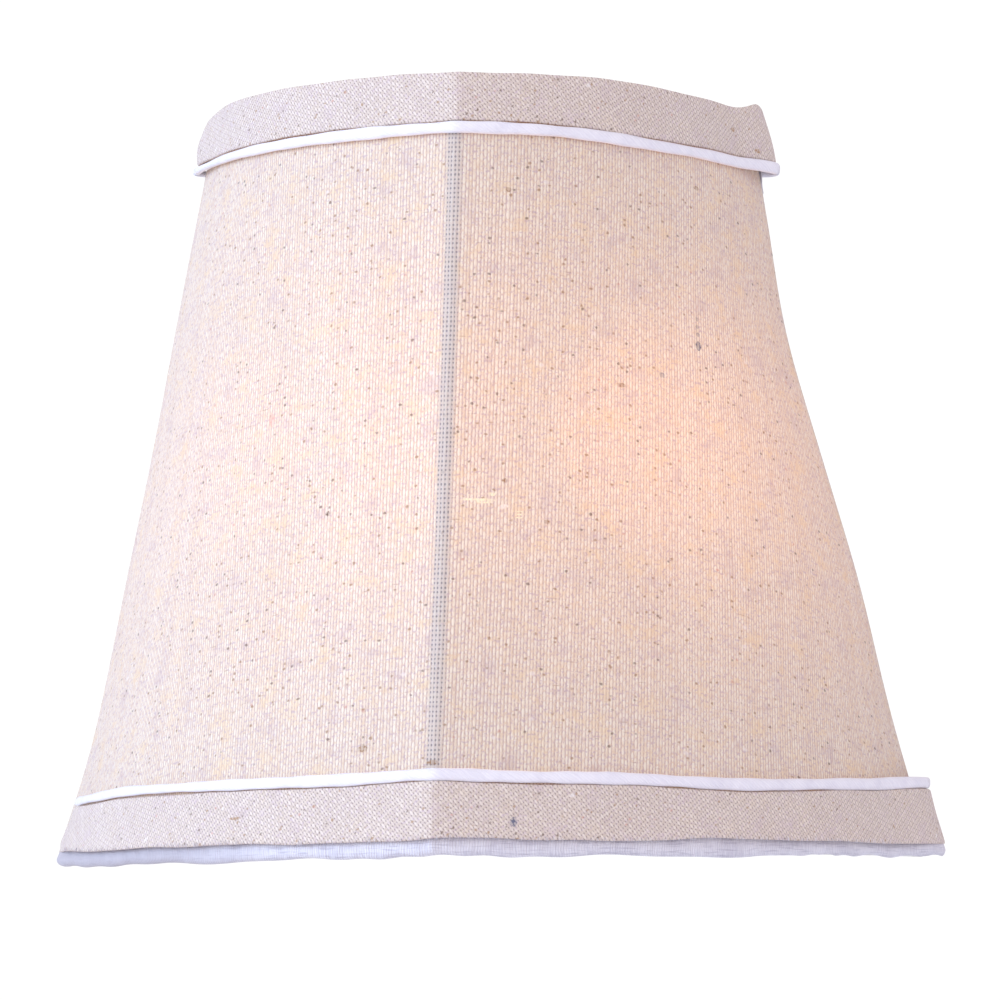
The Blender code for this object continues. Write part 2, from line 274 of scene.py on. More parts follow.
def half_path(turn_in, step, end_angle=END_ANGLE):
    """Columns of the right half: the plan's turn, the facing, and the length gone along the inside."""
    corner = np.linspace(0, CREASE_ANGLE, CORNER_COLUMNS)
    arc = np.arange(CREASE_ANGLE, end_angle, step)[1:]
    turns = [corner, arc, [end_angle]]
    facing = [np.ones(len(corner) + len(arc) + 1)]
    inside = [np.zeros(len(corner) + len(arc) + 1)]
    if turn_in > 0:
        turns.append(np.linspace(END_ANGLE, END_ANGLE + math.pi, EDGE_COLUMNS + 2)[1:-1])
        facing.append(np.ones(EDGE_COLUMNS))
        inside.append(np.zeros(EDGE_COLUMNS))
        turns.append(np.full(LEG_COLUMNS, END_ANGLE))
        facing.append(-np.ones(LEG_COLUMNS))
        inside.append(np.linspace(0, turn_in, LEG_COLUMNS))
    return np.concatenate(turns), np.concatenate(facing), np.concatenate(inside)


def whole_path(levels, turn_in, step, end_angle=END_ANGLE):
    """Grids of plan turn and facing, a row for each level, from the left end to the right one."""
    turn, facing, inside = half_path(turn_in, step, end_angle)
    turn = turn - inside / (RADIUS_SHARE * half_width(np.asarray(levels, float)))[:, None]
    turn = np.concatenate([-turn[:, :0:-1], turn], 1)
    facing = np.concatenate([facing[:0:-1], facing])
    return turn, np.broadcast_to(facing, turn.shape)


def lengths_along(grid, axis):
    """Distance gone along a grid of points, from its first row or column."""
    steps = np.linalg.norm(np.diff(grid, axis=axis), axis=-1)
    start = np.zeros_like(np.take(steps, [0], axis))
    return np.concatenate([start, np.cumsum(steps, axis)], axis)


def linked(name, data):
    """A new object in the scene."""
    made = bpy.data.objects.new(name, data)
    bpy.context.scene.collection.objects.link(made)
    return made


def mesh_piece(name, points, faces, cloth_map):
    mesh = bpy.data.meshes.new(name)
    mesh.from_pydata(points, [], faces)
    write_cloth_map(mesh, cloth_map)
    return linked(name, mesh)


def shell(name, outer, inner, cloth_map):
    """A closed thin sheet between two grids of points, with its cloth map in millimetres."""
    rows, columns = outer.shape[:2]
    index = np.arange(rows * columns).reshape(rows, columns)
    deep = index + rows * columns
    a, b, c, d = index[:-1, :-1], index[:-1, 1:], index[1:, 1:], index[1:, :-1]
    front = np.stack([a, b, c, d], -1).reshape(-1, 4)
    back = front[:, ::-1] + rows * columns
    rim = []
    for line, under in ((index[0], deep[0]), (index[:, -1], deep[:, -1])):
        rim.append(np.stack([line[:-1], under[:-1], under[1:], line[1:]], -1))
    for line, under in ((index[-1], deep[-1]), (index[:, 0], deep[:, 0])):
        rim.append(np.stack([line[1:], under[1:], under[:-1], line[:-1]], -1))
    faces = np.concatenate([front, back, *rim])
    points = np.concatenate([outer.reshape(-1, 3), inner.reshape(-1, 3)])
    flat = cloth_map.reshape(-1, 2)
    made = mesh_piece(name, points.tolist(), faces.tolist(), np.concatenate([flat, flat]))
    made.data.shade_smooth()
    made.data.set_sharp_from_angle(angle=SHARP_ANGLE)
    return made


def write_cloth_map(mesh, values):
    """values is a pair of millimetres for each vertex."""
    layer = mesh.uv_layers.get(CLOTH_MAP) or mesh.uv_layers.new(name=CLOTH_MAP)
    corners = np.empty(len(mesh.loops), np.int32)
    mesh.loops.foreach_get("vertex_index", corners)
    layer.data.foreach_set("uv", values[corners].astype(np.float32).ravel())


def face_out(obj):
    """Turns the faces to point outwards."""
    body = bmesh.new()
    body.from_mesh(obj.data)
    bmesh.ops.recalc_face_normals(body, faces=body.faces)
    body.to_mesh(obj.data)
    body.free()


def section_sheet(name, section, thickness, turn_in, step, shift, end_angle=END_ANGLE):
    """A sheet whose cross-section, rows of (offset, level), runs along the wall. shift moves its points."""
    section = np.asarray(section, float)
    along = np.gradient(section, axis=0)
    along /= np.linalg.norm(along, axis=1)[:, None]
    out = np.stack([along[:, 1], -along[:, 0]], -1)
    turn, facing = whole_path(section[:, 1], turn_in, step, end_angle)
    grids = []
    for side in (0.5, 0.0, -0.5):
        line = section + out * side * thickness
        points = placed(turn, facing, line[:, 1, None], line[:, 0, None])
        grids.append(settled(shift(points, turn)))
    length = lengths_along(grids[1], 1)
    centre = turn.shape[1] // 2
    length = length - length[:, centre, None]
    across = lengths_along(grids[1], 0)
    cloth_map = np.stack([length, across], -1) * MM
    made = shell(name, grids[0], grids[2], cloth_map)
    face_out(made)
    return made, length


# ---------------- cloth


def cover_shift(points, turn):
    """The slight hollows and tension lines of cloth stretched between the wires."""
    x = points[..., 0]
    level = points[..., 2]
    share = (level - BOTTOM_LEVEL) / (TOP_LEVEL - BOTTOM_LEVEL)
    middle_share = np.clip(4 * share * (1 - share), 0, 1)
    away = smooth(np.abs(turn), CREASE_ANGLE, CREASE_ANGLE + 0.2)
    away = away * (1 - smooth(np.abs(turn), END_ANGLE - 0.15, END_ANGLE))
    short_ripple = 0.00012 * np.sin(x * 210 + level * 60)
    long_ripple = 0.00009 * np.sin(x * 95 - level * 130 + 1)
    push = (short_ripple + long_ripple - COVER_HOLLOW) * middle_share * away
    return points + out_of_wall(turn) * push[..., None]


def developed(length, level):
    """Cloth coordinates of a cone laid flat, so that the weave droops at the sides as it does when cut."""
    taper = (BOTTOM_HALF_WIDTH - TOP_HALF_WIDTH) / (TOP_LEVEL - BOTTOM_LEVEL)
    slant = (level - BOTTOM_LEVEL) * math.sqrt(1 + taper**2)
    apex = BOTTOM_HALF_WIDTH / taper * math.sqrt(1 + taper**2)
    radius = apex - slant
    turn = length / radius
    return radius * np.sin(turn), apex - radius * np.cos(turn)


def wall_cloth(name, rows, offset, thickness, turn_in, step, shift, end_angle=END_ANGLE):
    """A cloth over the whole wall. Returns also the lengths along it, its levels and its flat size."""
    levels = np.linspace(CLOTH_LOW, CLOTH_HIGH, rows)
    section = np.stack([np.full_like(levels, offset), levels], -1)
    made, length = section_sheet(name, section, thickness, turn_in, step, shift, end_angle)
    widths = length[:, -1] - length[:, 0]
    tall = (CLOTH_HIGH - CLOTH_LOW) * SLANT_SHARE
    size = {"flat": (float(widths[0]), tall), "area": float(widths.mean() * tall)}
    return made, length, levels, size


def make_cover(linen):
    made, length, levels, size = wall_cloth(
        "linen_cloth", COVER_ROWS, COVER_OFFSET, COVER_THICKNESS, COVER_TURN_IN, COVER_STEP, cover_shift
    )
    u, v = developed(length, np.broadcast_to(levels[:, None], length.shape))
    flat = np.stack([u, v], -1).reshape(-1, 2) * MM
    write_cloth_map(made.data, np.concatenate([flat, flat]))
    finish_piece(made, linen, "linen_cover")


def lining_shift(points, turn):
    """Soft waves, which only lift the lining inwards, off the wires."""
    x = points[..., 0]
    level = points[..., 2]
    share = np.clip((level - CLOTH_LOW) / (CLOTH_HIGH - CLOTH_LOW), 0, 1)
    push = 0.00025 * np.sin(x * 260 + level * 35) * np.sin(math.pi * share)
    return points - out_of_wall(turn) * (np.abs(push) + 0.0001 * share)[..., None]


def make_lining(satin):
    made, _, _, size = wall_cloth(
        "lining_cloth", LINING_ROWS, LINING_OFFSET, LINING_THICKNESS, 0, LINING_STEP, lining_shift,
        END_ANGLE - LINING_SHORT,
    )
    finish_piece(made, satin, "lining")


def folded_section(low, high):
    """Cross-section of a strip with both long edges turned under, from one raw edge to the other."""
    radius = (TRIM_FACE_OFFSET - TRIM_UNDER_OFFSET) / 2
    centre = (TRIM_FACE_OFFSET + TRIM_UNDER_OFFSET) / 2
    points = [(TRIM_UNDER_OFFSET, level) for level in np.linspace(low + TRIM_RETURN, low + radius, 5)]
    for turn in np.linspace(0, math.pi, 7)[1:-1]:
        points.append((centre - radius * math.cos(turn), low + radius - radius * math.sin(turn)))
    points += [(TRIM_FACE_OFFSET, level) for level in np.linspace(low + radius, high - radius, 16)]
    for turn in np.linspace(0, math.pi, 7)[1:-1]:
        points.append((centre + radius * math.cos(turn), high - radius + radius * math.sin(turn)))
    points += [(TRIM_UNDER_OFFSET, level) for level in np.linspace(high - radius, high - TRIM_RETURN, 5)]
    return np.array(points)


def stand_proud(points, turn, word, share=0.0):
    """Moves the strips' ends along x. share is how far up the strip a point is."""
    low, high = RIGHT_PROUD[word]
    proud = low + (high - low) * share**2
    out = proud * smooth(turn, END_ANGLE - PROUD_SPREAD, END_ANGLE - 0.01)
    start, steady, curved = LEFT_ROUNDING[word]
    rounded = start + steady * share + curved * share**2
    tucked = CORNER_ROUND[word] * (1 - smooth(share, 0.0, CORNER_ROUND_SHARE)) - LEFT_PROUD[word] * rounded
    out = out + tucked * smooth(-turn, END_ANGLE - PROUD_SPREAD, END_ANGLE)
    return points + np.stack([out, 0 * out, 0 * out], -1)


def top_piping_drop(x):
    """How the top piping, and the trim's low edge with it, sinks towards the right."""
    return -slope(x, TOP_PIPING_FALL)


def bottom_piping_lift(x):
    """How the bottom piping, and the trim's high edge with it, rises and dips."""
    lift = -slope(-x, BOTTOM_LEFT_FALL) + knoll(x, BOTTOM_RIB_RISE)
    return lift - knoll(x, BOTTOM_DIP) + slope(x, BOTTOM_RIGHT_RISE)


def strip_shift(word, low, high, at_low, at_high):
    """A shift that moves the strip's low and high edges by functions of x, and the rest between them."""

    def shift(points, turn):
        share = np.clip((points[..., 2] - low) / (high - low), 0, 1)
        x = points[..., 0]
        lift = at_low(x) * (1 - share) + at_high(x) * share
        wander = waves(x, ((0.00007, 190, 2 * share), (0.00004, 610, 1)))
        points = points + np.stack([0 * lift, 0 * lift, lift + wander], -1)
        pucker = STRIP_PUCKER * np.sin(x * 520 + share * 5) * np.sin(math.pi * share)
        return stand_proud(points + out_of_wall(turn) * pucker[..., None], turn, word, share)

    return shift


def top_edge_lift(x):
    """The top trim's high edge: a knob at the right end, a shoulder at the left, a dip at the rib."""
    lift = knoll(x, TOP_KNOB) - slope(x, TOP_KNOB_END) - slope(-x, TOP_SHOULDER)
    return lift - TOP_EDGE_DROP - knoll(x, TOP_RIB_DIP)


def low_edge_wander(x):
    """The bottom trim's low edge, which isn't quite straight."""
    return waves(x, LOW_EDGE_WAVES)


def make_trim(word, linen, at_low, at_high):
    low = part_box(word + "_trim")[0].z
    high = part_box(word + "_trim")[1].z
    section = folded_section(low, high)
    shift = strip_shift(word, low, high, at_low, at_high)
    made, length = section_sheet(
        word + "_trim_band", section, TRIM_THICKNESS, TRIM_TURN_IN, TRIM_STEP, shift
    )
    finish_piece(made, linen, word + "_trim")


def piping_rings(word, spine, turn, facing, lift):
    """Rings of points round the cord's spine, a row for each side of the cord."""
    x = spine[:, 0]
    half_height = PIPING_HALF_HEIGHT + waves(x, PIPING_WAVES)
    half_height = half_height - slope(-x, PIPING_THINNED[word])
    half_depth = PIPING_HALF_DEPTH + waves(x, PIPING_DEPTH_WAVES)
    ends = np.minimum(np.arange(len(x)), np.arange(len(x))[::-1])
    close = np.sqrt(np.clip(ends / 3, 0.05, 1))
    direction = np.stack([np.sin(turn) * facing, -np.cos(turn) * facing], -1)
    drop = np.where(facing < 0, -PIPING_SEAM_DROP * (turn > 0), 0.0)
    rings = []
    for side in np.linspace(math.pi, 3 * math.pi, PIPING_SIDES + 1)[:-1]:
        out = half_depth * close * squared(math.cos(side))
        up = half_height * close * squared(math.sin(side))
        point = spine + np.stack([direction[:, 0] * out, direction[:, 1] * out, up + drop], -1)
        point[:, 2] += lift(x)
        rings.append(settled(stand_proud(point, turn, word)))
    return np.array(rings)


def squared(value):
    """A sine or cosine pushed outwards, so that a circle becomes a little square."""
    return np.sign(value) * abs(value) ** PIPING_SQUARENESS


def make_piping(word, satin, lift):
    """A flat-sided cord sewn along the trim's edge."""
    level = middle(word + "_piping").z
    turn, facing = whole_path([level], TRIM_TURN_IN, PIPING_STEP)
    spine = placed(turn, facing, np.array([[level]]), PIPING_OFFSET)[0]
    rings = piping_rings(word, spine, turn[0], facing[0], lift)
    length = lengths_along(settled(spine)[None], 1)[0]
    round_length = np.linspace(0, 2 * math.pi * 0.85, PIPING_SIDES)
    cloth_map = np.stack(np.broadcast_arrays(length[None] * MM, round_length[:, None]), -1)
    made = tube_mesh(word + "_piping_cord", rings, cloth_map)
    finish_piece(made, satin, word + "_piping")


def tube_mesh(name, grid, cloth_map):
    """A closed tube from rings of points: rows run round it and columns along it."""
    sides, columns = grid.shape[:2]
    index = np.arange(sides * columns).reshape(sides, columns)
    after = np.roll(index, -1, 0)
    skin = np.stack([index[:, :-1], index[:, 1:], after[:, 1:], after[:, :-1]], -1).reshape(-1, 4)
    faces = skin.tolist() + [index[:, 0].tolist(), index[::-1, -1].tolist()]
    made = mesh_piece(name, grid.reshape(-1, 3).tolist(), faces, cloth_map.reshape(-1, 2))
    made.data.shade_smooth()
    face_out(made)
    return made


def binding_section(at_top):
    """Round the wire, with a leg up the wall on both sides."""
    level = BOTTOM_LEVEL
    leg_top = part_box("bottom_binding")[1].z
    outside = [(BINDING_REACH, z) for z in np.linspace(leg_top, level, 6)]
    under = []
    for turn in np.linspace(0, math.pi, 15)[1:-1]:
        under.append((BINDING_REACH * math.cos(turn), level - BINDING_REACH * math.sin(turn)))
    over_lining = LINING_OFFSET - LINING_THICKNESS / 2 - BINDING_THICKNESS
    inside = [(-BINDING_REACH, z) for z in np.linspace(level, leg_top - BINDING_STEP_IN, 4)]
    inside += [(over_lining, z) for z in np.linspace(leg_top, leg_top + BINDING_INNER_LEG, 5)]
    section = np.array(outside + under + inside)
    if at_top:
        section[:, 1] = HEIGHT - section[:, 1]
    return section


def binding_shift(points, turn):
    """Creases where the strip is pulled round the wire. The bottom one's right end stands proud."""
    x = points[..., 0]
    level = points[..., 2]
    near_end = np.minimum(level, HEIGHT - level)
    low = 1 - smooth(near_end, 0.0, 0.004)
    sign = np.where(level < HEIGHT / 2, 1, -1)
    crease = waves(x, ((0.00018, 240, 1), (0.00010, 700, 3 * np.sin(x * 90))))
    lift = sign * crease * low
    ragged = slope(x, BINDING_RAGGED) * np.sin(x * 1900 + 2 * np.sin(x * 420))
    lift = lift + sign * (ragged + slope(x, BINDING_TUCK)) * low
    fine = BINDING_GRAIN * np.sin(x * 2300 + level * 900)
    proud = smooth(turn, END_ANGLE - BINDING_PROUD_SPREAD, END_ANGLE)
    out = BINDING_PROUD * proud * (level < HEIGHT / 2)
    return points + out_of_wall(turn) * fine[..., None] + np.stack([out, 0 * lift, lift], -1)


def make_binding(word, satin):
    section = binding_section(word == "top")
    made, length = section_sheet(
        word + "_binding_strip", section, BINDING_THICKNESS, 0, BINDING_STEP,
        binding_shift, END_ANGLE + BINDING_OVERHANG,
    )
    finish_piece(made, satin, word + "_binding")


def make_edge_tape(satin):
    """A bit of lining tape folded round the right edge, with its foot in view below the top piping."""
    levels = np.linspace(TAPE_LOW, TAPE_HIGH, 12)
    round_edge = np.linspace(END_ANGLE + TAPE_START, END_ANGLE + math.pi, 12)
    legs = np.linspace(0, TAPE_LEG, 6)[1:]
    grids = []
    for side in (0.5, 0.0, -0.5):
        rows = []
        for level in levels:
            reach = TAPE_OFFSET + side * TAPE_THICKNESS + TAPE_WAVE * math.sin(level * 900)
            behind = END_ANGLE - legs / (RADIUS_SHARE * half_width(level))
            turn = np.concatenate([round_edge, behind])
            facing = np.concatenate([np.ones(len(round_edge)), -np.ones(len(legs))])
            rows.append(placed(turn, facing, level, reach))
        grids.append(settled(np.array(rows)))
    length = lengths_along(grids[1], 1)
    cloth_map = np.stack([length, lengths_along(grids[1], 0)], -1) * MM
    made = shell("lining_edge_tape", grids[0], grids[2], cloth_map)
    face_out(made)
    finish_piece(made, satin)


def fibre_spine(rng, trim_low):
    """Three points of one fibre, from its root upwards."""
    angle = rng.uniform(CREASE_ANGLE, END_ANGLE - BINDING_PROUD_SPREAD) * rng.choice((-1, 1))
    height = rng.uniform(FRAY_SHORTEST, FRAY_TALLEST)
    slant = rng.uniform(-FRAY_SLANT, FRAY_SLANT)
    spine = []
    for share in (0.0, 0.5, 1.0):
        offset = TRIM_FACE_OFFSET + FRAY_STAND_OFF + FRAY_LEAN_OUT * share
        level = trim_low - FRAY_ROOT + (height + FRAY_ROOT) * share
        spot = placed(angle + slant * share**2, 1, np.array(level), offset)
        spot[..., 2] += low_edge_wander(spot[..., 0])
        spine.append(settled(spot))
    return spine


def add_fibre(spine, points, faces):
    """A three-sided tapered tube along the spine."""
    start = len(points)
    for share, spot in zip((1.0, 0.9, 0.4), spine):
        for corner in range(3):
            turn = 2 * math.pi * corner / 3
            out = FRAY_RADIUS * share * np.array([math.cos(turn), math.sin(turn), 0])
            points.append((spot + out).tolist())
    for row in (0, 3):
        for corner in range(3):
            after = (corner + 1) % 3
            a, b = start + row + corner, start + row + after
            faces.append((a, b, b + 3, a + 3))
    faces += [(start + 2, start + 1, start), (start + 6, start + 7, start + 8)]


def make_fray(satin):
    """Loose fibres of the bottom strip, which stand up over the trim's lower edge."""
    rng = np.random.default_rng(5)
    trim_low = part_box("bottom_trim")[0].z
    points = []
    faces = []
    for _ in range(FRAY_FIBRES):
        add_fibre(fibre_spine(rng, trim_low), points, faces)
    made = mesh_piece("bottom_edge_fray", points, faces, np.array(points)[:, [0, 2]] * MM)
    finish_piece(made, satin)


# ---------------- wires and clip


def wire(name, points, steel, node):
    """A round wire along the points, in place of that CAD node."""
    curve = bpy.data.curves.new(name, "CURVE")
    curve.dimensions = "3D"
    curve.bevel_depth = WIRE_RADIUS
    curve.bevel_resolution = 4
    curve.use_fill_caps = True
    spline = curve.splines.new("POLY")
    spline.points.add(len(points) - 1)
    for spot, point in zip(spline.points, points):
        spot.co = (*point, 1.0)
    spline.use_smooth = True
    finish_piece(linked(name, curve), steel, node)


def make_wires(steel):
    for word, level in (("bottom", BOTTOM_LEVEL), ("top", TOP_LEVEL)):
        turn, facing = whole_path([level], 0, WIRE_STEP, END_ANGLE + WIRE_OVERHANG)
        points = settled(placed(turn, facing, np.array([[level]]), 0.0)[0])
        wire(word + "_ring", points, steel, word + "_wire")
    clear = WIRE_RADIUS + WIRE_CLEARANCE
    levels = np.linspace(BOTTOM_LEVEL + clear, TOP_LEVEL - clear, 30)
    for name, angle, node in (
        ("rib_wire", 0.0, "center_rib"),
        ("left_strut_wire", -END_ANGLE, "left_side_strut"),
        ("right_strut_wire", END_ANGLE, "right_side_strut"),
    ):
        points = placed(np.full_like(levels, angle), 1, levels, 0.0)
        wire(name, settled(points), steel, node)


def finish_piece(obj, material, node=None):
    """Gives a piece of the shade its material and the CAD node it replaces."""
    obj.data.materials.clear()
    obj.data.materials.append(material)
    if node:
        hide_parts(node)
    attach(obj, "shade")


# ---------------- materials


class Finish:
    """A material's nodes, added by short calls."""

    def __init__(self, name):
        self.material = bpy.data.materials.new(name)
        self.material.use_nodes = True
        self.tree = self.material.node_tree
        self.shader = self.tree.nodes["Principled BSDF"]
        self.output = self.tree.nodes["Material Output"]

    def add(self, kind, **settings):
        node = self.tree.nodes.new(kind)
        for name, value in settings.items():
            setattr(node, name, value)
        return node

    def feed(self, socket, value):
        if isinstance(value, bpy.types.NodeSocket):
            self.tree.links.new(value, socket)
        else:
            socket.default_value = value

    def shade(self, name, value):
        self.feed(self.shader.inputs[name], value)

    def math(self, operation, *values):
        node = self.add("ShaderNodeMath", operation=operation)
        for socket, value in zip(node.inputs, values):
            self.feed(socket, value)
        return node.outputs[0]

    def times(self, first, second):
        return self.math("MULTIPLY", first, second)

    def times_add(self, first, second, added):
        return self.math("MULTIPLY_ADD", first, second, added)

    def cloth_place(self, degrees=0.0):
        """The cloth map's two lengths in millimetres, turned by some degrees."""
        found = self.add("ShaderNodeUVMap", uv_map=CLOTH_MAP)
        split = self.add("ShaderNodeSeparateXYZ")
        self.feed(split.inputs[0], found.outputs[0])
        u, v = split.outputs[0], split.outputs[1]
        if degrees == 0:
            return u, v
        along, across = math.cos(math.radians(degrees)), math.sin(math.radians(degrees))
        turned_u = self.times_add(u, along, self.times(v, across))
        turned_v = self.times_add(v, along, self.times(u, -across))
        return turned_u, turned_v

    def at(self, u, v, along, across):
        """A place to read a texture at, with its details that long and that tall."""
        joined = self.add("ShaderNodeCombineXYZ")
        self.feed(joined.inputs[0], self.math("DIVIDE", u, along))
        self.feed(joined.inputs[1], self.math("DIVIDE", v, across))
        return joined.outputs[0]

    def noise(self, place, detail=2.0, roughness=0.5):
        node = self.add("ShaderNodeTexNoise")
        self.feed(node.inputs["Vector"], place)
        self.feed(node.inputs["Scale"], 1.0)
        self.feed(node.inputs["Detail"], detail)
        self.feed(node.inputs["Roughness"], roughness)
        return node.outputs["Fac"]

    def dots(self, place):
        """Distance to scattered points, and a random value for each point."""
        node = self.add("ShaderNodeTexVoronoi")
        self.feed(node.inputs["Vector"], place)
        self.feed(node.inputs["Scale"], 1.0)
        split = self.add("ShaderNodeSeparateColor")
        self.feed(split.inputs[0], node.outputs["Color"])
        return node.outputs["Distance"], split.outputs[0]

    def random(self, number):
        node = self.add("ShaderNodeTexWhiteNoise", noise_dimensions="1D")
        self.feed(node.inputs["W"], number)
        return node.outputs["Value"]

    def fade(self, value, low, high):
        """0 at low and 1 at high, which may be the smaller one."""
        node = self.add("ShaderNodeMapRange", interpolation_type="SMOOTHSTEP")
        for place, number in enumerate((value, low, high, 0.0, 1.0)):
            self.feed(node.inputs[place], number)
        return node.outputs[0]

    def scale(self, value, low, high):
        """A value from 0 to 1 spread from low to high."""
        node = self.add("ShaderNodeMapRange", clamp=False)
        for place, number in enumerate((value, 0.0, 1.0, low, high)):
            self.feed(node.inputs[place], number)
        return node.outputs[0]

    def mix(self, share, first, second):
        node = self.add("ShaderNodeMix", data_type="RGBA", clamp_factor=True)
        self.feed(node.inputs[0], share)
        for socket, colour in ((node.inputs[6], first), (node.inputs[7], second)):
            self.feed(socket, (*colour, 1.0) if isinstance(colour, tuple) else colour)
        return node.outputs[2]

    def bump(self, height, depth):
        """Relief of that depth in metres."""
        node = self.add("ShaderNodeBump")
        self.feed(node.inputs["Strength"], 1.0)
        self.feed(node.inputs["Distance"], depth)
        self.feed(node.inputs["Height"], height)
        return node.outputs[0]

    def let_light_through(self, colour, share):
        """Some of the light goes through, as through thin cloth."""
        glow = self.add("ShaderNodeBsdfTranslucent")
        self.feed(glow.inputs["Color"], colour)
        both = self.add("ShaderNodeMixShader")
        self.feed(both.inputs[0], share)
        self.tree.links.new(self.shader.outputs[0], both.inputs[1])
        self.tree.links.new(glow.outputs[0], both.inputs[2])
        self.tree.links.new(both.outputs[0], self.output.inputs["Surface"])


# The linen: a thread's pitch both ways in millimetres, and its colours
WARP_PITCH = 0.58
WEFT_PITCH = 0.80
LINEN_PALE = (0.96, 0.90, 0.77)
LINEN_TAN = (0.84, 0.69, 0.53)
LINEN_GAP = (0.60, 0.45, 0.44)
LINEN_MAUVE = (0.62, 0.49, 0.53)
LINEN_STRAW = (0.90, 0.72, 0.46)
BIAS_PALE = (0.80, 0.70, 0.62)
BIAS_TAN = (0.64, 0.53, 0.45)
BIAS_GAP = (0.33, 0.25, 0.23)
SLUB_BROWN = (0.42, 0.26, 0.15)
SPECK_BROWN = (0.16, 0.10, 0.07)
RED_FLECK = (0.62, 0.26, 0.20)
# the rib band's colours: threads greyed by the wire's painted shadow, and the dark wire with its painted
# shadow in the gaps
RIB_SHADOWED_THREAD = (0.77, 0.68, 0.62)
RIB_WIRE_SHADOW_GAP = (0.26, 0.24, 0.25)
# painted light: a pale yellow standing in for the lamp's glow seen through holes in the weave
PAINTED_LAMP_GLOW = (1.0, 0.97, 0.72)
PALE_THREAD = (0.98, 0.92, 0.84)
LILAC_THREAD = (0.88, 0.84, 0.98)
DARK_SLUB = (0.16, 0.16, 0.22)
TAIL_GREY = (0.36, 0.31, 0.32)
FAINT_RED = (0.80, 0.50, 0.42)
NUB_WHITE = (0.97, 0.93, 0.90)
# Marks that stand out: millimetres from the rib and up the cloth, half length, half height, and colour
COVER_MARKS = (
    # the first six marks are painted lamp glow through holes in the weave
    (6.4, 58.1, 1.9, 0.45, PAINTED_LAMP_GLOW),
    (3.7, 58.3, 0.9, 0.24, PAINTED_LAMP_GLOW),
    (7.8, 59.3, 0.8, 0.34, PAINTED_LAMP_GLOW),
    (12.4, 56.5, 0.7, 0.14, PAINTED_LAMP_GLOW),
    (12.4, 56.0, 0.7, 0.14, PAINTED_LAMP_GLOW),
    (12.4, 55.5, 0.6, 0.14, PAINTED_LAMP_GLOW),
    (9.9, 57.3, 0.7, 0.40, PALE_THREAD),
    (-0.2, 11.4, 1.8, 0.60, LILAC_THREAD),
    (-0.4, 13.9, 0.9, 0.45, SLUB_BROWN),
    (46.7, 91.3, 0.7, 0.80, DARK_SLUB),
    (46.7, 93.4, 0.4, 0.40, TAIL_GREY),
    (46.6, 94.8, 0.4, 0.40, TAIL_GREY),
    (46.6, 96.2, 0.3, 0.40, TAIL_GREY),
    (38.5, 84.0, 0.6, 0.50, TAIL_GREY),
    (30.4, 80.6, 0.9, 0.40, SLUB_BROWN),
    (9.8, 61.7, 0.5, 0.40, SLUB_BROWN),
    (17.2, 55.1, 0.5, 0.40, SLUB_BROWN),
    (9.0, 112.2, 0.5, 0.45, SLUB_BROWN),
    (46.7, 120.6, 0.7, 0.40, SLUB_BROWN),
    (-35.4, 76.6, 0.7, 1.20, FAINT_RED),
    (-22.0, 57.8, 0.5, 0.45, SPECK_BROWN),
    (-12.9, 16.9, 0.9, 0.70, SLUB_BROWN),
)
BOTTOM_TRIM_MARKS = (
    (13.3, 5.4, 0.6, 0.8, DARK_SLUB),
    (-38.0, 7.0, 1.4, 0.25, SLUB_BROWN),
)
TOP_TRIM_MARKS = (
    (65.5, 4.2, 0.8, 0.40, SLUB_BROWN),
    (58.7, 7.1, 0.6, 0.40, SLUB_BROWN),
)

# Lift of the lengthwise threads, of the crosswise ones, and how far neighbours are out of step, in threads
COVER_WEAVE = ((0.80, 0.20), (0.44, -0.20), 0.8)
BIAS_WEAVE = ((0.66, 0.34), (0.60, -0.30), 0.25)
BIAS_FINENESS = 1.15
BIAS_TURN = 38.0
COVER_STRAW = 0.42
BIAS_STRAW = 0.10
MAUVE_SHARE = 0.70
SPECKS = (  # spacing in millimetres, the luck it takes to be seen, colour and strength
    (1.7, 0.68, SPECK_BROWN, 0.68),
    (3.1, 0.60, RED_FLECK, 0.50),
    (1.3, 0.64, SLUB_BROWN, 0.75),
)
SPECK_EDGE = (0.60, 0.36)
RIB_MIDDLE = -0.2
RIB_EDGE = (2.05, 1.25)
COVER_SEE_THROUGH = 0.25
LINING_SEE_THROUGH = 0.35
LINEN_RELIEF = 0.00009


def weave(made, u, v, lifts):
    """Plain weave. Returns its height, 1 where a lengthwise thread is on top, and the threads' numbers."""
    across = made.math("DIVIDE", u, WARP_PITCH)
    warp_number = made.math("FLOOR", across)
    uneven = made.times(made.random(warp_number), lifts[2])
    along = made.math("ADD", made.math("DIVIDE", v, WEFT_PITCH), uneven)
    weft_number = made.math("FLOOR", along)

    def thread(position, other_number, lift):
        rounded = made.math("ABSOLUTE", made.math("SINE", made.times(position[0], math.pi)))
        phase = made.math("ADD", made.math("SUBTRACT", position[1], 0.5), other_number)
        wave = made.math("COSINE", made.times(phase, math.pi))
        lifted = made.times_add(wave, lift[1], lift[0])
        return made.times(made.math("POWER", rounded, 0.7), lifted)

    warp = thread((across, along), warp_number, lifts[0])
    weft = thread((along, across), weft_number, lifts[1])
    height = made.math("MAXIMUM", warp, weft)
    on_top = made.fade(made.math("SUBTRACT", warp, weft), -0.1, 0.1)
    return height, on_top, warp_number, weft_number


def netting(made, place, pitch):
    """1 in the gap between two threads and 0 on a thread."""
    turn = made.times(place, math.pi / pitch)
    return made.math("SUBTRACT", 1.0, made.math("ABSOLUTE", made.math("SINE", turn)))


def wandered(made, value, place, amount):
    """A length in millimetres that strays by that much to both sides."""
    return made.times_add(made.math("SUBTRACT", made.noise(place), 0.5), amount, value)


